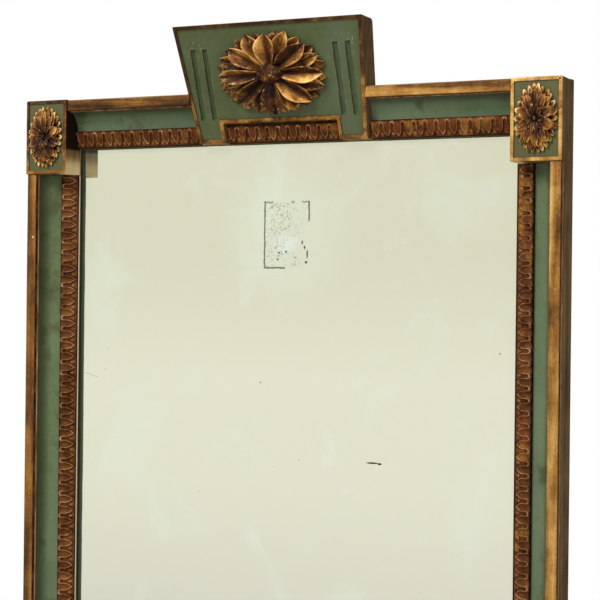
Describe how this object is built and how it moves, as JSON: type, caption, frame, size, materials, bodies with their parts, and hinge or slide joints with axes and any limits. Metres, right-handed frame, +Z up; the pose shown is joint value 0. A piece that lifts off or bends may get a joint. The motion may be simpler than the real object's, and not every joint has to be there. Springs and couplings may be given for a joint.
{
  "type": "trumeau mirror",
  "caption": "Rectangular wall mirror in a painted and parcel-gilt wooden frame with leaf-tip mouldings, corner blocks with rosettes, and a crest that leans forward",
  "frame": {"origin": "on the wall plane, in the middle of the top rail's back", "axes": "+X to the right seen from the front, +Y back into the wall, +Z up"},
  "size_m": [1, 0.107, 1.7089],
  "materials": {
    "brown_paint": "worn dark brown paint on softwood, bare behind",
    "gilt": "worn water gilding on gesso",
    "green_paint": "old matt green paint",
    "worn_gilt": "gilding rubbed down to the red bole",
    "carved_gilt": "worn gilding on carved wood",
    "old_mirror": "old tin-mercury silvering with lost spots",
    "bare_pine": "bare aged pine",
    "iron": "dark wrought iron"
  },
  "bodies": {
    "frame": {"stile_left": "brown_paint", "stile_right": "brown_paint", "rail_top": "brown_paint", "rail_bottom": "brown_paint", "fillet_left": "gilt", "fillet_right": "gilt", "fillet_top_left": "gilt", "fillet_top_right": "gilt", "fillet_bottom": "gilt", "cove_left": "green_paint", "cove_right": "green_paint", "cove_top_left": "green_paint", "cove_top_right": "green_paint", "cove_bottom": "green_paint", "leaf_left": "worn_gilt", "leaf_right": "worn_gilt", "leaf_top_left": "worn_gilt", "leaf_top_middle": "worn_gilt", "leaf_top_right": "worn_gilt", "leaf_bottom": "worn_gilt", "block_top_left": "green_paint", "block_rosette_top_left": "carved_gilt", "block_top_right": "green_paint", "block_rosette_top_right": "carved_gilt", "block_bottom_left": "green_paint", "block_rosette_bottom_left": "carved_gilt", "block_bottom_right": "green_paint", "block_rosette_bottom_right": "carved_gilt", "crest_board": "green_paint", "crest_rosette": "carved_gilt", "mirror_plate": "old_mirror", "backboard_1": "bare_pine", "backboard_2": "bare_pine", "backboard_3": "bare_pine", "brad_top_1": "iron", "brad_top_2": "iron", "brad_top_3": "iron", "brad_bottom_1": "iron", "brad_bottom_2": "iron", "brad_bottom_3": "iron", "crest_screw_left": "iron", "hanger_left": "iron", "hanger_screw_left_1": "iron", "hanger_screw_left_2": "iron", "crest_screw_right": "iron", "hanger_right": "iron", "hanger_screw_right_1": "iron", "hanger_screw_right_2": "iron"},
    "left_ring": {"ring_left": "iron"},
    "right_ring": {"ring_right": "iron"}
  },
  "joints": [
    {"name": "left_ring_swing", "type": "hinge", "parent": "frame", "child": "left_ring", "pos_m": [-0.466, -0.0049, -0.15775], "axis": [1, 0, 0], "range_deg": [0, 175]},
    {"name": "right_ring_swing", "type": "hinge", "parent": "frame", "child": "right_ring", "pos_m": [0.466, -0.0049, -0.15775], "axis": [1, 0, 0], "range_deg": [0, 175]}
  ]
}
